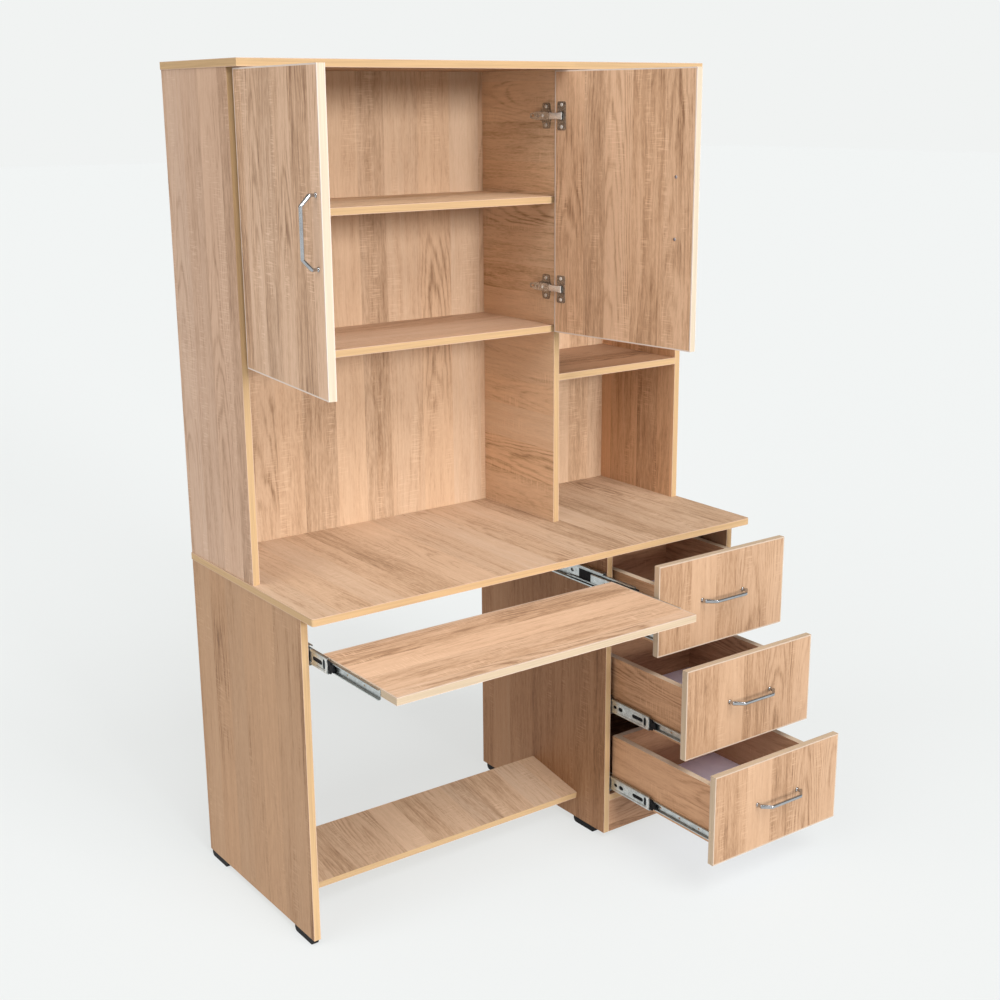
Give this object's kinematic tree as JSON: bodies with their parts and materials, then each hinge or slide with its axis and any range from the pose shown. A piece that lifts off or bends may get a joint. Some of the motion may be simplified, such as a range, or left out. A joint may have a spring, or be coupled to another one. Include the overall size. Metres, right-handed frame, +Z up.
{
  "type": "computer desk with keyboard tray",
  "caption": "Computer desk with a hutch of open niches, a two-door cupboard, a pull-out keyboard tray, a tilted foot rest and a pedestal of drawers on ball-bearing runners.",
  "frame": {"origin": "on the floor, under the middle of the desk's outline with its doors, tray and drawers open as at rest", "axes": "+Z up, -Y towards the user, +X to the user's right"},
  "size_m": [1.2626, 0.909, 1.815],
  "materials": {
    "oak_outer": "satin laminate, greyish oak",
    "oak_top": "satin laminate, warm light oak",
    "oak_inner": "satin laminate, warm oak",
    "oak_front": "satin laminate, light oak with pale edging",
    "pale_board": "pale lacquered fibreboard",
    "zinc_steel": "zinc-plated sheet",
    "chrome": "polished",
    "black_plastic": "matte"
  },
  "bodies": {
    "carcass": {"base_left_side": "oak_outer", "pedestal_left_side": "oak_outer", "pedestal_right_side": "oak_outer", "pedestal_plinth": "oak_outer", "hutch_left_side": "oak_outer", "hutch_right_side": "oak_outer", "worktop": "oak_top", "foot_rest": "oak_top", "hutch_top": "oak_top", "hutch_back": "oak_top", "pedestal_back": "oak_inner", "pedestal_bottom": "oak_inner", "hutch_divider": "oak_inner", "cupboard_shelf": "oak_inner", "cupboard_bottom": "oak_inner", "side_shelf": "oak_inner", "foot_left_front": "black_plastic", "foot_left_rear": "black_plastic", "foot_middle_front": "black_plastic", "foot_middle_rear": "black_plastic", "foot_right_front": "black_plastic", "foot_right_rear": "black_plastic", "left_hinge_lower": "zinc_steel", "left_hinge_upper": "zinc_steel", "right_hinge_lower": "zinc_steel", "right_hinge_upper": "zinc_steel"},
    "left_door": {"left_door": "oak_front", "left_door_handle": "chrome"},
    "right_door": {"right_door": "oak_front", "right_door_handle": "chrome"},
    "tray": {"keyboard_tray": "oak_front", "tray_runner_left": "zinc_steel", "tray_runner_right": "zinc_steel"},
    "tray_middle": {"tray_middle_member_left": "zinc_steel", "tray_middle_member_right": "zinc_steel"},
    "drawer_1": {"drawer_1_front": "oak_front", "drawer_1_box": "oak_inner", "drawer_1_bottom": "pale_board", "drawer_1_handle": "chrome", "drawer_1_runner_left": "zinc_steel", "drawer_1_runner_right": "zinc_steel"},
    "drawer_1_middle": {"drawer_1_middle_member_left": "zinc_steel", "drawer_1_middle_member_right": "zinc_steel"},
    "drawer_2": {"drawer_2_front": "oak_front", "drawer_2_box": "oak_inner", "drawer_2_bottom": "pale_board", "drawer_2_handle": "chrome", "drawer_2_runner_left": "zinc_steel", "drawer_2_runner_right": "zinc_steel"},
    "drawer_2_middle": {"drawer_2_middle_member_left": "zinc_steel", "drawer_2_middle_member_right": "zinc_steel"},
    "drawer_3": {"drawer_3_front": "oak_front", "drawer_3_box": "oak_inner", "drawer_3_bottom": "pale_board", "drawer_3_handle": "chrome", "drawer_3_runner_left": "zinc_steel", "drawer_3_runner_right": "zinc_steel"},
    "drawer_3_middle": {"drawer_3_middle_member_left": "zinc_steel", "drawer_3_middle_member_right": "zinc_steel"}
  },
  "joints": [
    {"name": "left_door_hinge", "type": "hinge", "parent": "carcass", "child": "left_door", "pos_m": [-0.558, 0.135, 1.507], "axis": [0, 0, -1], "range_deg": [-96, 10]},
    {"name": "right_door_hinge", "type": "hinge", "parent": "carcass", "child": "right_door", "pos_m": [0.239, 0.135, 1.507], "axis": [0, 0, 1], "range_deg": [-97, 10]},
    {"name": "tray_slide", "type": "slide", "parent": "carcass", "child": "tray", "axis": [0, -1, 0], "range_m": [-0.258, 0.042]},
    {"name": "tray_middle_slide", "type": "slide", "parent": "carcass", "child": "tray_middle", "axis": [0, -1, 0], "range_m": [-0.129, 0.021]},
    {"name": "drawer_1_slide", "type": "slide", "parent": "carcass", "child": "drawer_1", "axis": [0, -1, 0], "range_m": [-0.159, 0.208]},
    {"name": "drawer_1_middle_slide", "type": "slide", "parent": "carcass", "child": "drawer_1_middle", "axis": [0, -1, 0], "range_m": [-0.0955, 0.1249]},
    {"name": "drawer_2_slide", "type": "slide", "parent": "carcass", "child": "drawer_2", "axis": [0, -1, 0], "range_m": [-0.257, 0.11]},
    {"name": "drawer_2_middle_slide", "type": "slide", "parent": "carcass", "child": "drawer_2_middle", "axis": [0, -1, 0], "range_m": [-0.1543, 0.0661]},
    {"name": "drawer_3_slide", "type": "slide", "parent": "carcass", "child": "drawer_3", "axis": [0, -1, 0], "range_m": [-0.355, 0.012]},
    {"name": "drawer_3_middle_slide", "type": "slide", "parent": "carcass", "child": "drawer_3_middle", "axis": [0, -1, 0], "range_m": [-0.2131, 0.0073]}
  ],
  "couplings": [
    {"joint": "tray_middle_slide", "follows": "tray_slide", "ratio": 0.5},
    {"joint": "drawer_1_middle_slide", "follows": "drawer_1_slide", "ratio": 0.6},
    {"joint": "drawer_2_middle_slide", "follows": "drawer_2_slide", "ratio": 0.6},
    {"joint": "drawer_3_middle_slide", "follows": "drawer_3_slide", "ratio": 0.6}
  ]
}
